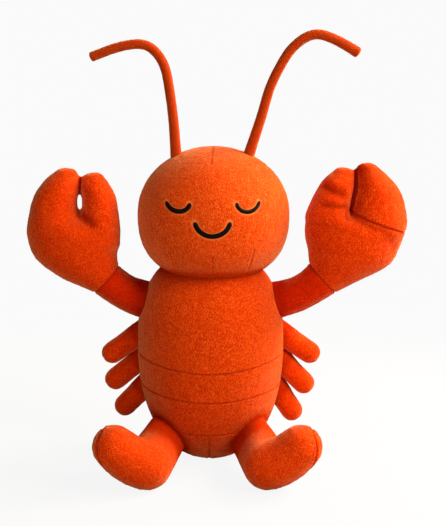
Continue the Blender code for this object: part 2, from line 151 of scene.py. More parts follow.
def relax(mesh, passes, hold=1.0, swell=-0.51):
    """Evens out a mesh without shrinking it: each smoothing step is followed by one that swells."""
    ends = np.empty(len(mesh.edges) * 2, np.int32)
    mesh.edges.foreach_get("vertices", ends)
    ends = ends.reshape(-1, 2)
    places = points(mesh)
    count = np.bincount(ends.ravel(), minlength=len(places))[:, None]
    for factor in (0.5, swell) * passes:
        total = np.zeros_like(places)
        for axis in range(3):
            total[:, axis] += np.bincount(ends[:, 0], places[ends[:, 1], axis], len(places))
            total[:, axis] += np.bincount(ends[:, 1], places[ends[:, 0], axis], len(places))
        places += (total / count - places) * factor * hold
    place_points(mesh, places)


def joined_fabric(piece, voxel, passes):
    """Makes one even skin over all the forms in a piece, a little inside its finished size."""
    remesh = piece.modifiers.new("even skin", "REMESH")
    remesh.mode = "VOXEL"
    remesh.voxel_size = voxel
    apply_modifiers(piece)
    relax(piece.data, passes)
    place_points(piece.data, points(piece.data) - outward(piece.data) * FABRIC_GIVE)


def stuff(piece, sewn, cap):
    """Settles the fabric under the filling's pressure, then lets it out to the finished size of the piece.

    The pressure is slight for so heavy a cloth: most pieces move by hundredths of a millimetre, which
    the printed line shows. The shape comes from the cut forms and from what is sewn into them after.
    """
    start = points(piece.data)
    away = outward(piece.data)
    move = np.zeros_like(start)
    scene = bpy.context.scene
    group = piece.vertex_groups.new(name="sewn")
    group.add([int(index) for index in np.nonzero(sewn)[0]], 1.0, "REPLACE")
    cloth = piece.modifiers.new("filling", "CLOTH")
    cloth.settings.vertex_group_mass = group.name
    cloth.settings.use_pressure = True
    cloth.settings.uniform_pressure_force = FILLING_PRESSURE
    cloth.settings.effector_weights.gravity = 0
    cloth.point_cache.frame_start = 1
    cloth.point_cache.frame_end = SETTLING_FRAMES
    for number in range(1, SETTLING_FRAMES + 1):
        scene.frame_set(number)
    shown = piece.evaluated_get(bpy.context.evaluated_depsgraph_get())
    move = points(shown.data) - start
    piece.modifiers.clear()
    piece.vertex_groups.clear()
    scene.frame_set(1)
    length = np.linalg.norm(move, axis=1, keepdims=True)
    print(f"{piece.name}: fabric moved {length.mean() * 1000:.2f} mm,",
          f"at most {length.max() * 1000:.2f} mm")
    move *= np.minimum(1.0, cap / np.maximum(length, 1e-9))
    out = float((move * away).sum(axis=1).mean())
    place_points(piece.data, start + move + away * (FABRIC_GIVE - out))


def subdivide(piece, levels):
    smooth = piece.modifiers.new("finer", "SUBSURF")
    smooth.levels = smooth.render_levels = levels
    apply_modifiers(piece)


def route_distance(places, normals, route):
    """Distance along the surface from a route drawn on the front, and how far along it each point lies.

    The route is a list of (x, z) points. It runs right through the piece from front to back.
    """
    flat = places[:, [0, 2]]
    facing = normals[:, [0, 2]]
    nearest = np.full(len(flat), 1e9)
    along = np.zeros(len(flat))
    done = 0.0
    for start, end in zip(route, route[1:]):
        start, end = np.array(start), np.array(end)
        run = end - start
        length = np.linalg.norm(run)
        share = np.clip((flat - start) @ run / length ** 2, 0, 1)
        offset = flat - (start + share[:, None] * run)
        gap = np.linalg.norm(offset, axis=1)
        tilt = (offset * facing).sum(axis=1) / np.maximum(gap, 1e-9)
        gap = gap / np.sqrt(np.maximum(1 - tilt ** 2, 0.1))
        closer = gap < nearest
        nearest[closer] = gap[closer]
        along[closer] = done + share[closer] * length
        done += length
    return nearest, along


def denser(piece, near):
    """Splits the faces round a seam, where the marked points are, so that the groove has a clean edge."""
    form = bmesh.new()
    form.from_mesh(piece.data)
    form.verts.ensure_lookup_table()
    edges = [edge for edge in form.edges if near[edge.verts[0].index] and near[edge.verts[1].index]]
    bmesh.ops.subdivide_edges(form, edges=edges, cuts=1, use_grid_fill=True)
    form.to_mesh(piece.data)
    form.free()


def mark(piece, name, values):
    """Keeps the strongest value so far of a named mark at each point, for the fabric to read."""
    layer = piece.data.attributes.get(name) or piece.data.attributes.new(name, "FLOAT", "POINT")
    old = np.zeros(len(values), np.float32)
    layer.data.foreach_get("value", old)
    layer.data.foreach_set("value", np.maximum(old, values).astype(np.float32))


def sew(piece, measure, depth, width, pitch=STITCH_PITCH, pucker=0.3, dark=1.0, only=None, fine=True):
    """Pulls the fabric in along a seam: a narrow groove, deeper at each stitch, between two soft lips.

    measure gives, for points and normals, the distance from the seam and the length along it.
    """
    if fine:
        near, _ = measure(points(piece.data), outward(piece.data))
        denser(piece, near < 2.5 * width)
    places, normals = points(piece.data), outward(piece.data)
    gap, along = measure(places, normals)
    hold = np.ones(len(places)) if only is None else only(places, normals)
    groove = np.exp(-(gap / width) ** 2) * hold
    lips = np.exp(-((gap - 2.3 * width) / width) ** 2) * hold
    stitches = 1 + pucker * np.cos(2 * pi * along / pitch) if pitch else 1.0
    rise = depth * (0.22 * lips * stitches - groove * stitches)
    place_points(piece.data, places + normals * rise[:, None])
    # Painted shade: the groove is marked, as strongly as dark says, so that the fabric deepens its colour
    # there.
    mark(piece, "seam", groove * dark)


def paint_join_shade(piece, distance, reach, dark):
    """Painted shade where a piece is gathered into its neighbour; the pile also lies flat there and loses its
    sheen.
    """
    mark(piece, "seam", dark * np.exp(-(np.maximum(distance, 0) / reach) ** 1.5))


def nap(piece, height=0.00016):
    """The level pile stands in small tufts, so the surface is never quite smooth."""
    places = points(piece.data)
    rise = [noise.noise(Vector(place) / (1.6 * PILE_TUFT))
            + 1.3 * noise.noise(Vector(place) / (5 * PILE_TUFT)) for place in places]
    place_points(piece.data, places + outward(piece.data) * (np.array(rise)[:, None] * height))


def press(piece, centre, reach, move):
    """Works a small stretch of a stuffed piece outwards or inwards, as a hand does when it shapes the toy."""
    places = points(piece.data)
    near = np.exp(-(np.linalg.norm(places - np.array(centre), axis=1) / reach) ** 2)
    place_points(piece.data, places + near[:, None] * np.array(move))


def smooth_out(piece, centre, reach, passes):
    """Strokes a fold out of a stuffed piece round one place."""
    near = np.exp(-(np.linalg.norm(points(piece.data) - np.array(centre), axis=1) / reach) ** 2)
    relax(piece.data, passes, near[:, None], 0.0)


def rest_on_floor(piece):
    places = points(piece.data)
    places[:, 2] = np.maximum(places[:, 2], 0.0)
    place_points(piece.data, places)


def linear(code):
    """Linear red, green, blue and opacity from an sRGB hex colour."""
    values = [int(code[start:start + 2], 16) / 255 for start in (1, 3, 5)]
    return (*[v / 12.92 if v <= 0.04045 else ((v + 0.055) / 1.055) ** 2.4 for v in values], 1.0)


def add(tree, kind, inputs=(), **settings):
    """Adds a node with its settings, and gives each input a value or a link."""
    node = tree.nodes.new(kind)
    for name, value in settings.items():
        setattr(node, name, value)
    for name, value in dict(inputs).items():
        if isinstance(value, bpy.types.NodeSocket):
            tree.links.new(value, node.inputs[name])
        else:
            node.inputs[name].default_value = value
    return node


def pile_fabric(name, fabric, shade, tips, crease_shade, combed=20.0):
    """Warp-knitted polyester plush, sheared to a level pile.

    Light sinks between the tufts, which lie in short streaks the way the pile is combed, so the colour is
    mottled dark and pale. The tips catch a soft peach sheen where the surface turns away. Where a seam
    pulls the fabric in or a piece is gathered into its neighbour, painted shade turns the colour deep red
    and the sheen is taken off. The streaks are drawn wider than fibres, so that they show.
    """
    material = bpy.data.materials.new(name)
    material.use_nodes = True
    tree = material.node_tree
    shader = tree.nodes["Principled BSDF"]
    place = add(tree, "ShaderNodeTexCoord").outputs["Object"]
    swirl = add(tree, "ShaderNodeTexNoise", {"Vector": place, "Scale": 1 / SWIRL_SIZE, "Detail": 1.0})
    drift = add(tree, "ShaderNodeVectorMath", {0: swirl.outputs["Color"], 1: (SWIRL_SIZE / 3,) * 3},
                operation="MULTIPLY")
    swept = add(tree, "ShaderNodeVectorMath", {0: place, 1: drift.outputs[0]}, operation="ADD")
    lay = add(tree, "ShaderNodeMapping", {"Vector": swept.outputs[0], "Rotation": (0, radians(combed), 0),
                                          "Scale": (1 / PILE_TUFT, 1 / PILE_TUFT, 1 / STREAK_LENGTH)})
    tufts = add(tree, "ShaderNodeTexNoise", {"Vector": lay.outputs[0], "Scale": 1.0, "Detail": 3.0,
                                             "Roughness": 0.65})
    brushed = add(tree, "ShaderNodeTexNoise", {"Vector": place, "Scale": 1 / CLUMP_SIZE, "Detail": 1.0})
    lie = add(tree, "ShaderNodeMix", {0: 0.12, 2: tufts.outputs[0], 3: brushed.outputs[0]})
    depth = add(tree, "ShaderNodeMapRange", {0: lie.outputs[0], 1: 0.40, 2: 0.55})
    low = add(tree, "ShaderNodeMix", {0: depth.outputs[0], 6: linear(shade), 7: linear(fabric)},
              data_type="RGBA")
    top = add(tree, "ShaderNodeMapRange", {0: lie.outputs[0], 1: 0.52, 2: 0.69, 4: 0.75})
    high = add(tree, "ShaderNodeMix", {0: top.outputs[0], 6: low.outputs[2], 7: linear(tips)},
               data_type="RGBA")
    rim = add(tree, "ShaderNodeAttribute", attribute_name="rim")
    edge = add(tree, "ShaderNodeMix", {0: rim.outputs["Fac"], 6: high.outputs[2], 7: linear(tips)},
               data_type="RGBA")
    # The 'seam' mark is painted shade: it mixes in the deep red shade colour and takes off the sheen.
    seam = add(tree, "ShaderNodeAttribute", attribute_name="seam")
    inside = add(tree, "ShaderNodeMix", {0: seam.outputs["Fac"], 6: edge.outputs[2], 7: linear(crease_shade)},
                 data_type="RGBA")
    tree.links.new(inside.outputs[2], shader.inputs["Base Color"])
    standing = add(tree, "ShaderNodeMapRange", {0: seam.outputs["Fac"], 1: 0.0, 2: 0.5, 3: 0.65, 4: 0.0})
    tree.links.new(standing.outputs[0], shader.inputs["Sheen Weight"])
    raised = add(tree, "ShaderNodeBump", {"Height": tufts.outputs[0], "Strength": 1.0,
                                          "Distance": PILE_LENGTH / 2})
    tree.links.new(raised.outputs[0], shader.inputs["Normal"])
    shader.inputs["Roughness"].default_value = 0.6
    shader.inputs["Specular IOR Level"].default_value = 0.01
    shader.inputs["Subsurface Weight"].default_value = 0.35
    shader.inputs["Subsurface Radius"].default_value = (1.0, 0.05, 0.02)
    shader.inputs["Subsurface Scale"].default_value = 0.010
    shader.inputs["Sheen Roughness"].default_value = 0.31
    shader.inputs["Sheen Tint"].default_value = linear("#ffbe80")
    return material


def dress(piece, material, nodes):
    """Gives a stuffed piece its fabric, hangs it on the root body and hides the model's parts that it stands
    for.
    """
    piece.data.materials.clear()
    piece.data.materials.append(material)
    piece.data.shade_smooth()
    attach(piece, "root")
    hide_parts(*nodes)


def band_seam(height, front_shift, side_shift):
    """Measure of a seam round the torso, which dips at the front, with the length counted along it."""
    def measure(places, normals):
        slope = np.sqrt(np.maximum(1 - normals[:, 2] ** 2, 0.1))
        turn = np.arctan2(places[:, 0], -places[:, 1])
        line = height + side_shift + (front_shift - side_shift) * np.cos(turn) ** 2
        return np.abs(places[:, 2] - line) / slope, turn * torso_half_width(height)
    return measure


def seam_through(route):
    return lambda places, normals: route_distance(places, normals, route)


torso_form = stuffed_round((TORSO_WIDTH, TORSO_DEPTH), TORSO_HEIGHT - TORSO_WIDEST_HEIGHT,
                           TORSO_WIDEST_HEIGHT + SEAT_PRESS, TORSO_FULLNESS)
for torso_vert in torso_form.verts:
    torso_vert.co += torso_axis(TORSO_WIDEST_HEIGHT + torso_vert.co.z) - Vector((0, 0, torso_vert.co.z))
torso = cloth_object("torso", torso_form)
joined_fabric(torso, SKIN_STEP, 3)
torso_heights = points(torso.data)[:, 2]
band_seams = [band_seam(height, *shifts) for height, shifts in zip(BAND_SEAMS, BAND_SEAM_SHIFTS)]
band_gaps = [seam(points(torso.data), outward(torso.data))[0] for seam in band_seams]
near_band_seam = np.min(band_gaps, axis=0) < SEWN_REACH
torso_held = near_band_seam | (torso_heights < SEAT_HOLD) | (torso_heights > NECK_HEIGHT)
stuff(torso, torso_held, TORSO_MOST_GIVE)
subdivide(torso, 2)
for seam in band_seams:
    sew(torso, seam, depth=0.0009, width=0.0008, dark=0.5)
base_route = [(BASE_SEAM_SHIFT, 0.0), (BASE_SEAM_SHIFT, BAND_SEAMS[-1] + BAND_SEAM_SHIFTS[-1][0])]
sew(torso, seam_through(base_route), depth=0.0006, width=0.0010, dark=0.35,
    only=lambda places, normals: (normals[:, 1] < 0) * (places[:, 2] < BAND_SEAMS[-1]))
# Painted shade on the torso just under the head.
paint_join_shade(torso, NECK_HEIGHT - points(torso.data)[:, 2], *TORSO_NECK_SHADE)
nap(torso)
rest_on_floor(torso)
torso_plush = pile_fabric("torso plush", "#d94204", "#b32c02", "#ee7024", "#980f00")
dress(torso, torso_plush, [*torso_nodes, "torso_filling"])

# Head
# A round stuffed head of the same plush, a front and a back panel sewn up the sides, with darts at the
# crown and under the chin that round the flat cloth. It is hand sewn down onto the neck.
head_low = Vector(map(min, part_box("head_front_panel")[0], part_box("head_back_panel")[0]))
head_high = Vector(map(max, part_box("head_front_panel")[1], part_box("head_back_panel")[1]))
HEAD_CENTRE = (head_low + head_high) / 2
HEAD_FULLNESS = (2.52, 2.0)
HEAD_EASE = 0.0008
SIDE_SEAM_BACK = 0.006
HEAD_MOST_GIVE = 0.0030
HEAD_NECK_SHADE = (0.004, 0.5)
HEAD_DARTS = [
    [(0.0025, 0.2830), (0.0010, 0.2692)],
    [(0.0021, 0.1935), (0.0021, 0.1700)],
    [(0.0369, 0.1986), (0.0344, 0.1874), (0.0294, 0.1725)],
    [(-0.0336, 0.1960), (-0.0320, 0.1891), (-0.0290, 0.1760)],
]


def side_seam(places, normals):
    """The seam round the head from ear to ear, a little behind its middle."""
    slope = np.sqrt(np.maximum(1 - normals[:, 1] ** 2, 0.1))
    turn = np.arctan2(places[:, 0] - HEAD_CENTRE.x, places[:, 2] - HEAD_CENTRE.z)
    gap = np.abs(places[:, 1] - (HEAD_CENTRE.y + SIDE_SEAM_BACK)) / slope
    return gap, turn * (head_high.x - HEAD_CENTRE.x)


FACE_STROKES = {
    "right_eye": ((-0.0264, 0.2390), 0.0196, 0.0070, 0.0042),
    "left_eye": ((0.0317, 0.2392), 0.0190, 0.0076, 0.0036),
    "mouth": ((0.0022, 0.2236), 0.0292, 0.0116, 0.0044),
}
RIM_WIDTH = 0.0011
RIM_PALENESS = 0.7
STROKE_DIP = 0.0006
STROKE_TURN = radians(82)


def arc_route(middle, width, drop, steps):
    """Points (x, z) evenly along a half oval that hangs below its two ends, and its length."""
    fine = np.linspace(-STROKE_TURN, STROKE_TURN, 200)
    x = width / 2 * np.sin(fine) / sin(STROKE_TURN)
    z = -drop * (np.cos(fine) - cos(STROKE_TURN)) / (1 - cos(STROKE_TURN))
    run = np.concatenate([[0], np.cumsum(np.hypot(np.diff(x), np.diff(z)))])
    even = np.linspace(0, run[-1], steps + 1)
    places = zip(middle[0] + np.interp(even, run, x), middle[1] + np.interp(even, run, z))
    return [(float(a), float(b)) for a, b in places], float(run[-1])


def press_round_stroke(piece, middle, width, drop, stroke):
    """The embroidery pulls the pile down under each stroke and leaves a pale pressed rim round it."""
    route, _ = arc_route(middle, width, drop, 12)
    near, _ = route_distance(points(piece.data), outward(piece.data), route)
    denser(piece, (near < stroke) & (outward(piece.data)[:, 1] < 0))
    places, normals = points(piece.data), outward(piece.data)
    gap, _ = route_distance(places, normals, route)
    front = normals[:, 1] < 0
    beside = np.maximum(gap - stroke / 2, 0)
    dip = np.exp(-(beside / RIM_WIDTH) ** 2) * front
    place_points(piece.data, places - normals * (STROKE_DIP * dip)[:, None])
    mark(piece, "rim", RIM_PALENESS * dip)


head_size = head_high - head_low
head_form = stuffed_round((head_size.x - HEAD_EASE, head_size.y), head_size.z / 2, head_size.z / 2,
                          HEAD_FULLNESS)
bmesh.ops.translate(head_form, verts=head_form.verts, vec=HEAD_CENTRE)
head = cloth_object("head", head_form)
joined_fabric(head, SKIN_STEP, 3)
head_gap, _ = side_seam(points(head.data), outward(head.data))
stuff(head, head_gap < SEWN_REACH, HEAD_MOST_GIVE)
subdivide(head, 2)
sew(head, side_seam, depth=0.0009, width=0.0011)
for dart in HEAD_DARTS:
    sew(head, seam_through(dart), depth=0.0005, width=0.0009, dark=0.3,
        only=lambda places, normals: np.clip(-normals[:, 1] * 4 + 1.5, 0, 1))
for eye_or_mouth in FACE_STROKES.values():
    press_round_stroke(head, *eye_or_mouth)
# Painted shade on the head's underside near the neck.
paint_join_shade(head, points(head.data)[:, 2] - NECK_HEIGHT, *HEAD_NECK_SHADE)
nap(head)
# The head's plush is the torso's fabric set lighter and more orange: painted light on the head's lit face.
head_plush = pile_fabric("head plush", "#de4a08", "#bd3504", "#f07e38", "#a01800")
dress(head, head_plush, ["head_front_panel", "head_back_panel", "head_filling"])

# Closed eyes and smile
# Raised bars of black polyester thread: satin stitch laid across the stroke, pulled tight into the pile.
THREAD_PITCH = 0.00042
THREAD_WIDTH = 0.0005
STITCH_HEIGHT = 0.0011
THREAD_SINK = 0.0003
END_STITCH_SHARE = 0.62
head_surface = BVHTree.FromPolygons([vert.co for vert in head.data.vertices],
                                    [list(face.vertices) for face in head.data.polygons])


def satin_thread(width):
    """One thread across a stroke: a thin bent bar about the origin, along X, with its crown at +Z."""
    form = bmesh.new()
    steps = 6
    rings = []
    for step in range(steps + 1):
        turn = pi * step / steps
        place = Vector((-cos(turn) * width / 2, 0, sin(turn) * STITCH_HEIGHT))
        made = bmesh.ops.create_circle(form, segments=5, radius=THREAD_WIDTH / 2,
                                       matrix=Matrix.Translation(place) @ Matrix.Rotation(turn, 4, "Y"))
        rings.append({edge for vert in made["verts"] for edge in vert.link_edges})
    for before, after in zip(rings, rings[1:]):
        bmesh.ops.bridge_loops(form, edges=list(before | after))
    bmesh.ops.holes_fill(form, edges=form.edges)
    bmesh.ops.recalc_face_normals(form, faces=form.faces)
    mesh = bpy.data.meshes.new("satin thread")
    form.to_mesh(mesh)
    form.free()
    return mesh


def satin_stroke(name, middle, width, drop, stroke):
    """Threads side by side along an arc on the head, shorter towards its two rounded ends."""
    _, length = arc_route(middle, width, drop, 2)
    count = round(length / THREAD_PITCH)
    route, _ = arc_route(middle, width, drop, count)
    thread = satin_thread(1.0)
    form = bmesh.new()
    for step, (x, z) in enumerate(route):
        hit = head_surface.ray_cast(Vector((x, head_low.y - 0.05, z)), -FRONT)[0]
        before, after = route[max(step - 1, 0)], route[min(step + 1, count)]
        along = Vector((after[0] - before[0], 0, after[1] - before[1]))
        out = (hit - HEAD_CENTRE).normalized()
        along = (along - out * along.dot(out)).normalized()
        across = along.cross(out)
        from_end = min(step, count - step) * THREAD_PITCH
        bow = squared_radius(max(0.0, 1 - from_end / (stroke / 2)), 2.0)
        share = stroke * max(END_STITCH_SHARE, bow)
        start = len(form.verts)
        form.from_mesh(thread)
        form.verts.ensure_lookup_table()
        turn = Matrix((across * share, along, out)).transposed().to_4x4()
        bmesh.ops.transform(form, matrix=Matrix.Translation(hit - out * THREAD_SINK) @ turn,
                            verts=form.verts[start:])
    return cloth_object(name, form)


def embroidery_thread():
    """Black rayon-look polyester thread, lightly twisted: dark brown-black with a soft gloss along it."""
    material = bpy.data.materials.new("embroidery thread")
    material.use_nodes = True
    shader = material.node_tree.nodes["Principled BSDF"]
    shader.inputs["Base Color"].default_value = linear("#060101")
    shader.inputs["Roughness"].default_value = 0.5
    shader.inputs["Specular IOR Level"].default_value = 0.1
    return material


black_thread = embroidery_thread()
for stroke_name, stroke_sizes in FACE_STROKES.items():
    stroke_piece = satin_stroke(f"{stroke_name}_stitching", *stroke_sizes)
    stroke_piece.data.materials.append(black_thread)
    stroke_piece.data.shade_smooth()
    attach(stroke_piece, "root")
    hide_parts(stroke_name)

# Antennae
# Narrow sleeves of the same fabric over a soft steel wire, closed bluntly at the tip and sewn into the
# crown of the head. The wire holds the bend that the sleeve shows.
ANTENNA_DIAMETER = 0.0083
ANTENNA_ROOT_DEPTH = 0.010
ROOT_FLARE = 0.2
TIP_DOME = 0.45
TIP_FLARE = {RIGHT: 1.0, LEFT: 1.12}
ANTENNA_NAP = 0.00008
ANTENNA_OUT = {RIGHT: 0.0320, LEFT: 0.0305}
ANTENNA_ROUTES = {
    RIGHT: ((0, 0), (0.0021, 0.030), (0.0053, 0.056), (0.0086, 0.073), (0.0138, 0.0838), (0.0215, 0.0914),
            (0.0305, 0.0940), (0.0415, 0.0930), (0.053, 0.0900), (0.0705, 0.0835)),
    LEFT: ((0, 0), (0.0103, 0.032), (0.0173, 0.056), (0.0261, 0.0747), (0.0351, 0.0887), (0.0466, 0.0985),
           (0.0575, 0.1015), (0.0690, 0.0985), (0.0802, 0.0930), (0.0911, 0.0865)),
}


def eased(rows, steps):
    """A smooth curve through rows of numbers, with a number of steps between each two."""
    rows = [np.array(row, float) for row in rows]
    ends = [2 * rows[0] - rows[1], *rows, 2 * rows[-1] - rows[-2]]
    curve = []
    for a, b, c, d in zip(ends, ends[1:], ends[2:], ends[3:]):
        for step in range(steps):
            t = step / steps
            curve.append(0.5 * (2 * b + (c - a) * t + (2 * a - 5 * b + 4 * c - d) * t * t
                                + (3 * b - a - 3 * c + d) * t ** 3))
    return curve + [rows[-1]]


def oval(form, centre, across, thick, sides):
    """Edges of an oval ring about a centre, with its two half axes given as vectors."""
    place = Matrix((across, thick, across.cross(thick).normalized())).transposed().to_4x4()
    made = bmesh.ops.create_circle(form, segments=sides, radius=1.0,
                                   matrix=Matrix.Translation(centre) @ place)
    return list({edge for vert in made["verts"] for edge in vert.link_edges})


def lofted(form, rings):
    """Bridges each ring to the next and closes the two ends."""
    for before, after in zip(rings, rings[1:]):
        bmesh.ops.bridge_loops(form, edges=before + after)
    for end in (rings[0], rings[-1]):
        bmesh.ops.contextual_create(form, geom=end)


def tube(form, path, radii, sides=32, domes=(1.0, 1.0)):
    """A tube of changing radius along a path. Each end is flat at a dome of 0 and half a ball at 1."""
    last = len(path) - 1
    along = [(path[min(i + 1, last)] - path[max(i - 1, 0)]).normalized() for i in range(last + 1)]
    side = along[0].cross(FRONT).normalized()
    rings = []
    for step, (centre, radius, heading) in enumerate(zip(path, radii, along)):
        if step:
            side = along[step - 1].rotation_difference(heading) @ side
        caps = []
        if step in (0, last) and domes[step > 0]:
            reach = domes[1] * radius if step else -domes[0] * radius
            caps = [(reach * sin(t), cos(t)) for t in (pi / 8, pi / 4, 3 * pi / 8)]
        for offset, share in [(0, 1), *caps]:
            ring = (centre + heading * offset, side * (radius * share),
                    side.cross(heading) * (radius * share))
            rings.insert(0 if caps and not step else len(rings), ring)
    lofted(form, [oval(form, *ring, sides) for ring in rings])


# The antennae's plush is the same fabric set much darker: painted shade.
antenna_plush = pile_fabric("antenna plush", "#ae380a", "#a23209", "#b64212", "#5f1504")
for side in (RIGHT, LEFT):
    out = ANTENNA_OUT[side]
    rise = head_size.z / 2 * squared_radius(out / (head_size.x / 2), HEAD_FULLNESS[1])
    root = HEAD_CENTRE + Vector((side * out, 0, rise))
    route = [Vector(row) for row in eased([(side * x, 0, z) for x, z in ANTENNA_ROUTES[side]], 14)]
    sunk = root - (route[1] - route[0]).normalized() * ANTENNA_ROOT_DEPTH
    path = [sunk, *[root + step for step in route]]
    widening = TIP_FLARE[side] - 1
    radii = [ANTENNA_DIAMETER / 2 * (1 + widening * (step / len(path)) ** 4 + ROOT_FLARE * exp(-step / 8))
             for step in range(len(path))]
    antenna_form = bmesh.new()
    tube(antenna_form, path, radii, sides=24, domes=(0, TIP_DOME))
    antenna = cloth_object(f"{SIDE_NAMES[side]}_antenna", antenna_form)
    nap(antenna, ANTENNA_NAP)
    dress(antenna, antenna_plush,
          [f"{SIDE_NAMES[side]}_antenna_sleeve", f"{SIDE_NAMES[side]}_antenna_wire"])

# Arms and claws
# A stuffed tube for the arm, and a mitten-shaped claw: a palm that runs up into one finger, with the
# second finger sewn into its edge. The arm is sewn to the torso at the shoulder and to the palm at the wrist.
ARM_DIAMETER = 0.0308
ARM_ROOT_SHARE = 1.08
ARM_SKIN_STEP = 0.0020
ARM_SEWN_REACH = 0.0016
ARM_MOST_GIVE = 0.0026
SHOULDER_SHADE = (0.007, 0.6)
PALM_CUFF_SHARE = 1.04
FINE_SEAM_WIDTH = 0.0016
SHOULDER_HEIGHT = 0.1448
ARM_FORWARD = 0.010
ELBOW_SAG = 0.0025
WRIST_REACH = {RIGHT: 0.0302, LEFT: 0.0382}
WRIST_RISE = {RIGHT: 0.0202, LEFT: 0.0200}
WRIST_TILT = {RIGHT: 43.0, LEFT: 42.0}
CLAW_THICKNESS = 0.053
PALM_ROWS = {
    RIGHT: ((0.0136, 0.0105, 0.0254, 0.76, 25), (0.0245, 0.026, 0.0372, 0.95, 12),
            (0.0275, 0.0412, 0.0405, 1.0, 4), (0.0354, 0.0490, 0.0318, 0.94, 0),
            (0.0432, 0.0548, 0.0230, 0.84, 0), (0.0443, 0.0600, 0.0207, 0.80, 0),
            (0.0438, 0.0655, 0.0198, 0.74, -2), (0.0417, 0.074, 0.0183, 0.68, -3),
            (0.0393, 0.0800, 0.0166, 0.62, -4), (0.0360, 0.0868, 0.0140, 0.5, -5),
            (0.0330, 0.0928, 0.0095, 0.30, -6)),
    LEFT: ((0.0103, 0.010, 0.0246, 0.76, 24), (0.0211, 0.0245, 0.0386, 0.95, 15),
           (0.0246, 0.0395, 0.0420, 1.0, 8), (0.0256, 0.0465, 0.0422, 0.99, 9),
           (0.0150, 0.0515, 0.0325, 0.94, 5),
           (0.0032, 0.0580, 0.0192, 0.84, 0), (0.0050, 0.0669, 0.0176, 0.74, 0),
           (0.009, 0.0778, 0.0158, 0.64, 4), (0.013, 0.0864, 0.0136, 0.5, 8),
           (0.0170, 0.0936, 0.0095, 0.30, 12)),
}
PINCER_ROWS = {
    RIGHT: ((0.0042, 0.0495, 0.0180, 0.84, -19), (0.0044, 0.0617, 0.0159, 0.76, -11),
            (0.0053, 0.0728, 0.0143, 0.66, -3), (0.0086, 0.0818, 0.0126, 0.54, 2),
            (0.0108, 0.0882, 0.0100, 0.34, 8)),
    LEFT: ((0.0455, 0.050, 0.0256, 0.90, 18), (0.0464, 0.0587, 0.0254, 0.88, 12),
           (0.0452, 0.0767, 0.0206, 0.72, 3), (0.0402, 0.0895, 0.0139, 0.55, -4),
           (0.0358, 0.0972, 0.0092, 0.34, -8)),
}
PINCER_ROOT_DEPTH = 0.016
PINCER_ROOT_SHARE = {RIGHT: 0.95, LEFT: 0.8}
# Each claw seam or fold: a route, its depth, its width, and how dark its painted shade is.
CLAW_SEAMS = {
    RIGHT: [
        ([(-0.1085, 0.2240), (-0.1040, 0.2195), (-0.0985, 0.2165)], 0.0008, 0.0036, 0.5),
        ([(-0.1109, 0.2590), (-0.1113, 0.2470), (-0.1117, 0.2400)], 0.0016, 0.0014, 0.8),
    ],
    LEFT: [
        ([(0.1195, 0.2268), (0.1302, 0.2217), (0.1398, 0.2176), (0.1524, 0.2130), (0.1690, 0.2060)],
         0.0013, 0.0010, 0.5),
        ([(0.0965, 0.2480), (0.1035, 0.2445), (0.1115, 0.2418)], 0.0024, 0.0034, 0.55),
        ([(0.0950, 0.2325), (0.1061, 0.2316), (0.1155, 0.2309)], 0.0014, 0.0022, 0.45),
        ([(0.1165, 0.2292), (0.1152, 0.2249), (0.1162, 0.2206)], 0.0009, 0.0016, 0.35),
    ],
}
# Each tuck: a route, its depth, its reach on the +X side of the tuck line, its edge width on the other side,
# and how dark its painted shade is.
FINGER_TUCKS = {
    RIGHT: [],
    LEFT: [([(0.1243, 0.2640), (0.1224, 0.2450), (0.1194, 0.2262)], 0.0046, 0.0070, 0.0012, 0.85)],
}
ARM_PRESSES = {
    RIGHT: [((-0.0590, -0.020, 0.1370), 0.012, (0, 0, 0.0012)),
            ((-0.0930, -0.028, 0.1560), 0.012, (0, 0, -0.0008))],
    LEFT: [((0.0600, -0.010, 0.1630), 0.012, (0, 0, -0.0016)),
           ((0.0855, -0.020, 0.1780), 0.010, (-0.0026, 0, 0.0018)),
           ((0.0800, -0.020, 0.1400), 0.016, (0, 0, -0.0008))],
}
SMOOTHED_PLACES = {
    RIGHT: [((-0.086, -0.030, 0.2135), 0.013, 40), ((-0.0745, -0.010, 0.2080), 0.010, 30)],
    LEFT: [],
}
SIDE_NODES = ["arm", "arm_filling", "claw_palm", "claw_palm_filling", "claw_pincer", "claw_pincer_filling"]


def torso_side(side, height):
    return torso_axis(height) + Vector((side * torso_half_width(height), 0, 0))


def wrist(side):
    """Middle of the wrist seam and the way the arm runs through it."""
    reach = Vector((side * WRIST_REACH[side], -ARM_FORWARD, WRIST_RISE[side]))
    tilt = radians(WRIST_TILT[side])
    return torso_side(side, SHOULDER_HEIGHT) + reach, Vector((side * cos(tilt), 0, sin(tilt)))


def claw_rings(form, side, rows, sides=40):
    """Oval rings of a claw form, from rows of out, up, half width, thickness share and tilt."""
    point, _ = wrist(side)
    rings = []
    for out, up, half_width, thick_share, tilt in rows:
        turn = radians(side * tilt)
        across = Vector((cos(turn), 0, -sin(turn))) * max(half_width, 0.001)
        thick = FRONT * (CLAW_THICKNESS / 2 * max(thick_share, 0.03))
        rings.append(oval(form, point + Vector((side * out, 0, up)), across, thick, sides))
    return rings


def rounded_tip(rows):
    """Adds the dome that ends a finger, carried on in the direction of its last two rows."""
    last = np.array(rows[-1], float)
    step = last - np.array(rows[-2], float)
    rise = last[3] * CLAW_THICKNESS / 2 * 0.5
    dome = []
    for turn in (0.5, 0.95, 1.3):
        row = last + step * (rise * sin(turn) / step[1])
        row[2:4] = last[2:4] * cos(turn)
        dome.append(row)
    return dome


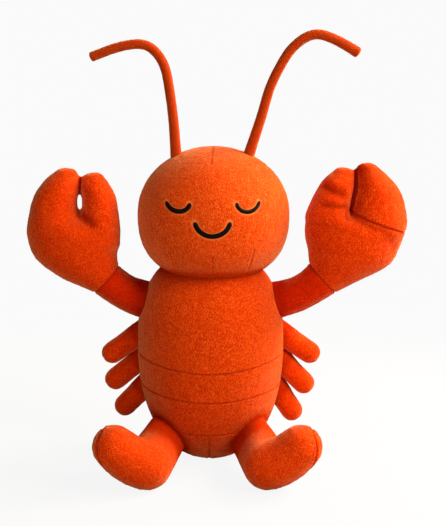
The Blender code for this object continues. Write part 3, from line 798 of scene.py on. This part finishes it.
def arm_and_claw(side):
    """Closed forms of the arm, the palm with its finger and the pincer, which reach into each other."""
    form = bmesh.new()
    point, heading = wrist(side)
    radius = ARM_DIAMETER / 2
    shoulder = torso_side(side, SHOULDER_HEIGHT)
    inside = shoulder - Vector((side * radius, 0, 0.004))
    elbow = (shoulder + point) / 2 - Vector((0, 0, ELBOW_SAG))
    root = radius * ARM_ROOT_SHARE
    rows = eased([(*inside, root), (*shoulder, root), (*elbow, radius), (*point, radius),
                  (*(point + heading * radius), radius * 0.9)], 4)
    tube(form, [Vector(row[:3]) for row in rows], [row[3] for row in rows], domes=(0, 0))
    across = heading.cross(FRONT) * (radius * PALM_CUFF_SHARE)
    across = across if across.x > 0 else -across
    start = [oval(form, point + heading * shift, across * share, FRONT * (radius * share), 40)
             for shift, share in ((-0.002, 0.85), (0.001, 1.0))]
    palm = eased(PALM_ROWS[side], 3)
    lofted(form, start + claw_rings(form, side, [*palm, *rounded_tip(palm)]))
    first = np.array(PINCER_ROWS[side][0])
    root_share = PINCER_ROOT_SHARE[side]
    sunk = first * (1, 1, root_share, root_share, 1) - (0, PINCER_ROOT_DEPTH, 0, 0, 0)
    pincer = eased([sunk, *PINCER_ROWS[side]], 3)
    lofted(form, claw_rings(form, side, [*pincer, *rounded_tip(pincer)]))
    return form


def wrist_seam(side):
    """Measure of the seam where the arm's end meets the palm."""
    point, heading = wrist(side)
    centre, axis = np.array(point), np.array(heading)

    def measure(places, normals):
        offset = places - centre
        height = offset @ axis
        slope = np.sqrt(np.maximum(1 - (normals @ axis) ** 2, 0.1))
        spread = offset - height[:, None] * axis
        turn = np.arctan2(spread[:, 1], spread @ np.cross(axis, (0, 1, 0)))
        far = np.linalg.norm(spread, axis=1) > ARM_DIAMETER
        return np.where(far, 1.0, np.abs(height) / slope), turn * ARM_DIAMETER / 2
    return measure


def tuck(piece, route, depth, reach, edge, dark):
    """Rolls the outer finger in behind the edge of the inner one, in a round flank that falls into shade, and
    paints shade onto that flank.
    """
    places, normals = points(piece.data), outward(piece.data)
    gap, _ = route_distance(places, normals, route)
    crease_x = np.interp(-places[:, 2], [-z for x, z in route], [x for x, z in route])
    width = np.where(places[:, 0] > crease_x, reach, edge)
    front = np.clip(-2 * normals[:, 1], 0, 1)
    sunk = depth * front * np.exp(-(gap / width) ** 2)
    place_points(piece.data, places - np.array(FRONT) * sunk[:, None])
    # Painted shade on the front of the rolled flank, deepest along the tuck.
    mark(piece, "seam", dark * front * np.exp(-(gap / width) ** 1.4))


claw_plush = pile_fabric("claw plush", "#dc3a02", "#bc2a01", "#ee6818", "#8c0c00")
# The arm's plush is the claw's fabric set darker and redder: painted shade, for the shade between head, torso
# and arm.
shaded_arm_plush = pile_fabric("arm plush", "#ce2600", "#b21c00", "#de3e04", "#860a00")
for side in (RIGHT, LEFT):
    arm = cloth_object(f"{SIDE_NAMES[side]}_arm_and_claw", arm_and_claw(side))
    joined_fabric(arm, ARM_SKIN_STEP, 8)
    arm_gap, _ = wrist_seam(side)(points(arm.data), outward(arm.data))
    arm_root = np.abs(points(arm.data)[:, 0]) < torso_half_width(SHOULDER_HEIGHT)
    stuff(arm, (arm_gap < ARM_SEWN_REACH) | arm_root, ARM_MOST_GIVE)
    for press_centre, press_reach, press_move in ARM_PRESSES[side]:
        press(arm, press_centre, press_reach, press_move)
    for smoothed_place in SMOOTHED_PLACES[side]:
        smooth_out(arm, *smoothed_place)
    subdivide(arm, 1)
    sew(arm, wrist_seam(side), depth=0.0009, width=0.0009, dark=0.4)
    for seam_route, seam_depth, seam_width, seam_dark in CLAW_SEAMS[side]:
        sew(arm, seam_through(seam_route), seam_depth, seam_width, dark=seam_dark, pitch=None,
            fine=seam_width < FINE_SEAM_WIDTH, only=lambda places, normals: np.clip(-2 * normals[:, 1], 0, 1))
    for finger_tuck in FINGER_TUCKS[side]:
        tuck(arm, *finger_tuck)
    # Painted shade on the arm where it meets the torso at the shoulder.
    paint_join_shade(arm, np.abs(points(arm.data)[:, 0]) - torso_half_width(SHOULDER_HEIGHT), *SHOULDER_SHADE)
    nap(arm)
    dress(arm, claw_plush, [f"{SIDE_NAMES[side]}_{node}" for node in SIDE_NODES])
    # Faces before the wrist take the darker arm copy, which is painted shade.
    arm.data.materials.append(shaded_arm_plush)
    centres = np.empty(len(arm.data.polygons) * 3, np.float32)
    arm.data.polygons.foreach_get("center", centres)
    wrist_point, wrist_heading = wrist(side)
    before_wrist = (centres.reshape(-1, 3) - np.array(wrist_point)) @ np.array(wrist_heading) < 0
    arm.data.polygons.foreach_set("material_index", before_wrist.astype(np.int32))

# Small legs
# Three finger-sized stuffed tubes a side, sewn one above another into the side of the torso.
LEG_DIAMETER = 0.0196
LEG_BACK = 0.004
LEG_SAG = 0.0008
LEG_SUNK_SHARE = 0.6
LEG_SKIN_STEP = 0.0018
LEG_ROOT_HOLD = 0.001
LEG_MOST_GIVE = 0.0015
LEG_ROOT_SHADE = (0.005, 0.6)
LEG_ROOT_SHARES = {RIGHT: (1.12, 0.99, 1.07), LEFT: (1.1, 1.12, 1.1)}
LEG_PLACES = {
    RIGHT: ((0.1112, 0.0226, 0.0158), (0.0879, 0.0206, 0.0168), (0.0624, 0.0158, 0.0160)),
    LEFT: ((0.1117, 0.0232, 0.0162), (0.0865, 0.0188, 0.0192), (0.0600, 0.0122, 0.0182)),
}
# The legs' plush is the torso's fabric set a little lighter and redder: painted light, where the torso shades
# the legs.
leg_plush = pile_fabric("leg plush", "#e23c02", "#c42b01", "#f05e0c", "#960e00")
for side in (RIGHT, LEFT):
    for number, (height, reach, drop) in enumerate(LEG_PLACES[side], 1):
        seam = torso_side(side, height) - FRONT * LEG_BACK - Vector((0, 0, LEG_SAG))
        tip = seam + Vector((side * reach, 0, -drop))
        inside = seam - (tip - seam).normalized() * LEG_DIAMETER * LEG_SUNK_SHARE
        leg_form = bmesh.new()
        radius = LEG_DIAMETER / 2
        root_radius = radius * LEG_ROOT_SHARES[side][number - 1]
        tube(leg_form, [inside, seam, (seam + tip) / 2, tip],
             [root_radius, root_radius, radius, radius], domes=(0, 1))
        leg = cloth_object(f"{SIDE_NAMES[side]}_leg_{number}_plush", leg_form)
        joined_fabric(leg, LEG_SKIN_STEP, 3)
        leg_heading = np.array((tip - seam).normalized())
        stuff(leg, (points(leg.data) - np.array(seam)) @ leg_heading < LEG_ROOT_HOLD, LEG_MOST_GIVE)
        subdivide(leg, 1)
        # Painted shade on each leg near its root in the torso.
        paint_join_shade(leg, (points(leg.data) - np.array(seam)) @ leg_heading, *LEG_ROOT_SHADE)
        nap(leg)
        dress(leg, leg_plush,
              [f"{SIDE_NAMES[side]}_leg_{number}", f"{SIDE_NAMES[side]}_leg_{number}_filling"])

# Feet
# Boot-shaped legs that reach forward from the hips and turn out and up: an upper sewn to a shallow sole
# panel round the toe, stuffed firmly. The heel rests on the floor.
HEEL_DIAMETER = 0.042
TOE_DIAMETER = 0.0376
SHAFT_DIAMETER = 0.040
SOLE_FULLNESS = 0.0022
FOOT_SKIN_STEP = 0.0022
FOOT_SEWN_REACH = 0.0018
HEEL_HOLD = 0.003
FOOT_MOST_GIVE = 0.0022
HEEL_REACH = 0.088
HEEL_PRESS = 0.0008
HIP_HEIGHT = 0.0292
HIP_OUT = {RIGHT: 0.0352, LEFT: 0.0306}
HIP_SLANT = (0.65, -0.76)
SHAFT_ROWS = ((-0.15, 0.0180, 0.0090), (0.0, 0.0194, 0.0105), (0.39, 0.0202, 0.0125),
              (0.7, 0.0206, 0.0174), (1.0, 0.0208, 0.0208))
SHAFT_SHADE_START = 0.020
SHAFT_SHADE = (0.036, 0.75)
HIP_SHADE_FLATNESS = 0.62
HIP_SHADE_EDGE = 0.0125
HIP_SHADE = (0.005, 0.6)
HIP_FORWARD = 0.018
HEEL_OUT = {RIGHT: 0.0528, LEFT: 0.0484}
TOE_OUT = 0.0272
TOE_RISE = 0.0184
TOE_FORWARD = 0.006
SOLE_SEAMS = {
    RIGHT: [(-0.0880, 0.0560), (-0.0932, 0.0466), (-0.0928, 0.0348), (-0.0897, 0.0270), (-0.0847, 0.0167),
            (-0.0740, 0.0070), (-0.0600, 0.0010)],
    LEFT: [(0.0800, 0.0590), (0.0854, 0.0538), (0.0888, 0.0440), (0.0879, 0.0326), (0.0827, 0.0194),
           (0.0722, 0.0100), (0.0580, 0.0020)],
}


def foot_points(side):
    hip = Vector((side * HIP_OUT[side], -HIP_FORWARD, HIP_HEIGHT))
    heel = Vector((side * HEEL_OUT[side], -HEEL_REACH, HEEL_DIAMETER / 2 - HEEL_PRESS))
    return hip, heel, heel + Vector((side * TOE_OUT, -TOE_FORWARD, TOE_RISE))


foot_plush = pile_fabric("foot plush", "#dc3e02", "#bb2e02", "#ee6e26", "#a01200")
for side in (RIGHT, LEFT):
    hip, heel, toe = foot_points(side)
    foot_form = bmesh.new()
    ankle = HEEL_DIAMETER / 2
    shaft_run = (heel - hip).normalized()
    slant = Vector((-side * HIP_SLANT[0], 0, HIP_SLANT[1]))
    slant = (slant - shaft_run * slant.dot(shaft_run)).normalized()
    over = slant.cross(shaft_run)
    shaft = [oval(foot_form, hip.lerp(heel, along), slant * long_half, over * short_half, 32)
             for along, long_half, short_half in eased(SHAFT_ROWS, 4)]
    lofted(foot_form, shaft)
    sole_side = (toe - heel).normalized().cross(FRONT) * side * SOLE_FULLNESS
    instep = [heel, (heel * 2 + toe) / 3 + sole_side, (heel + toe * 2) / 3 + sole_side, toe]
    tube(foot_form, instep, [ankle, ankle * 0.99, TOE_DIAMETER / 2 * 1.06, TOE_DIAMETER / 2])
    foot = cloth_object(f"{SIDE_NAMES[side]}_foot", foot_form)
    joined_fabric(foot, FOOT_SKIN_STEP, 4)
    sole_seam = seam_through([point[:2] for point in eased(SOLE_SEAMS[side], 3)])
    foot_gap, _ = sole_seam(points(foot.data), outward(foot.data))
    foot_places = points(foot.data)
    foot_root = np.linalg.norm(foot_places - np.array(hip), axis=1) < SHAFT_DIAMETER / 2
    foot_held = (foot_gap < FOOT_SEWN_REACH) | foot_root | (foot_places[:, 2] < HEEL_HOLD)
    stuff(foot, foot_held, FOOT_MOST_GIVE)
    subdivide(foot, 1)
    sew(foot, sole_seam, depth=0.0013, width=0.0010, dark=0.75)
    hip_reach = np.linalg.norm(points(foot.data) - np.array(hip), axis=1)
    # Painted shade on the foot's shaft, strong near the hip and fading towards the heel.
    paint_join_shade(foot, hip_reach - SHAFT_SHADE_START, *SHAFT_SHADE)
    # Painted shade on the torso round the place where each foot's shaft meets it.
    torso_reach = points(torso.data) - np.array(hip)
    torso_reach -= (torso_reach @ np.array(shaft_run))[:, None] * np.array(shaft_run)
    torso_slant = torso_reach @ np.array(slant)
    torso_short = torso_reach @ np.array(over)
    paint_join_shade(torso, np.hypot(torso_slant * HIP_SHADE_FLATNESS, torso_short) - HIP_SHADE_EDGE, *HIP_SHADE)
    nap(foot)
    rest_on_floor(foot)
    dress(foot, foot_plush,
          [f"{SIDE_NAMES[side]}_foot_{node}" for node in ("upper", "sole", "filling")])

# Studio
# A pale paper sweep on the floor under four soft round lamps: a key and a stronger side lamp, both high
# on the toy's left, a weak fill before it and a weak lamp behind.
CAMERA_TARGET = Vector((0.0109, -0.008, 0.1772))
CAMERA_DISTANCE = 1.35
CAMERA_ELEVATION = radians(12)
CAMERA_LENS = 106.2
BACKGROUND = "#fafafa"


def lamp(name, place, size, power, colour):
    light = bpy.data.lights.new(name, "AREA")
    light.shape = "DISK"
    light.size = size
    light.energy = power
    light.color = linear(colour)[:3]
    holder = bpy.data.objects.new(name, light)
    holder.location = place
    holder.rotation_euler = (CAMERA_TARGET - Vector(place)).to_track_quat("-Z", "Y").to_euler()
    bpy.context.scene.collection.objects.link(holder)


def paper(name):
    """Matt white background paper: evenly pale to the camera, with only a faint shadow on it."""
    material = bpy.data.materials.new(name)
    material.use_nodes = True
    tree = material.node_tree
    tree.nodes.clear()
    matt = add(tree, "ShaderNodeBsdfDiffuse", {"Color": linear("#a29c96")})
    shadow = add(tree, "ShaderNodeBsdfDiffuse", {"Color": linear("#3c3c3c")})
    glow = add(tree, "ShaderNodeEmission", {"Color": linear(BACKGROUND), "Strength": 0.935})
    near = add(tree, "ShaderNodeAddShader", {0: shadow.outputs[0], 1: glow.outputs[0]})
    far = add(tree, "ShaderNodeEmission", {"Color": linear(BACKGROUND), "Strength": 1.0})
    place = add(tree, "ShaderNodeTexCoord").outputs["Object"]
    distance = add(tree, "ShaderNodeVectorMath", {0: place}, operation="LENGTH")
    away = add(tree, "ShaderNodeMapRange", {0: distance.outputs["Value"], 1: 0.25, 2: 0.6},
               interpolation_type="SMOOTHSTEP")
    seen = add(tree, "ShaderNodeMixShader", {0: away.outputs[0], 1: near.outputs[0], 2: far.outputs[0]})
    rays = add(tree, "ShaderNodeLightPath")
    chosen = add(tree, "ShaderNodeMixShader",
                 {0: rays.outputs["Is Camera Ray"], 1: matt.outputs[0], 2: seen.outputs[0]})
    add(tree, "ShaderNodeOutputMaterial", {"Surface": chosen.outputs[0]})
    return material


floor_form = bmesh.new()
bmesh.ops.create_grid(floor_form, x_segments=1, y_segments=1, size=60.0)
floor = cloth_object("floor", floor_form)
floor.data.materials.append(paper("background paper"))

world = bpy.data.worlds.new("studio")
bpy.context.scene.world = world
world.use_nodes = True
sky = world.node_tree
sky.nodes.clear()
sky_rays = add(sky, "ShaderNodeLightPath")
sky_seen = add(sky, "ShaderNodeBackground", {"Color": linear(BACKGROUND), "Strength": 1.0})
sky_light = add(sky, "ShaderNodeBackground", {"Color": linear("#ffd0b0"), "Strength": 0.09})
sky_both = add(sky, "ShaderNodeMixShader", {0: sky_rays.outputs["Is Camera Ray"],
                                            1: sky_light.outputs[0], 2: sky_seen.outputs[0]})
add(sky, "ShaderNodeOutputWorld", {"Surface": sky_both.outputs[0]})
lamp("key lamp", (1.15, -0.80, 1.20), 0.9, 34, "#fff4e8")
lamp("side lamp", (1.25, 0.34, 1.05), 0.8, 58, "#fff6ec")
lamp("fill lamp", (-0.20, -1.45, 0.45), 0.9, 7.5, "#fff0e2")
lamp("back lamp", (-0.30, 1.50, 1.20), 1.0, 6, "#fff6ec")

camera_data = bpy.data.cameras.new("camera")
camera_data.lens = CAMERA_LENS
camera = bpy.data.objects.new("camera", camera_data)
towards = Vector((0, -cos(CAMERA_ELEVATION), sin(CAMERA_ELEVATION)))
camera.location = CAMERA_TARGET + towards * CAMERA_DISTANCE
camera.rotation_euler = (-towards).to_track_quat("-Z", "Y").to_euler()
bpy.context.scene.collection.objects.link(camera)
bpy.context.scene.camera = camera
bpy.context.scene.view_settings.view_transform = "Standard"
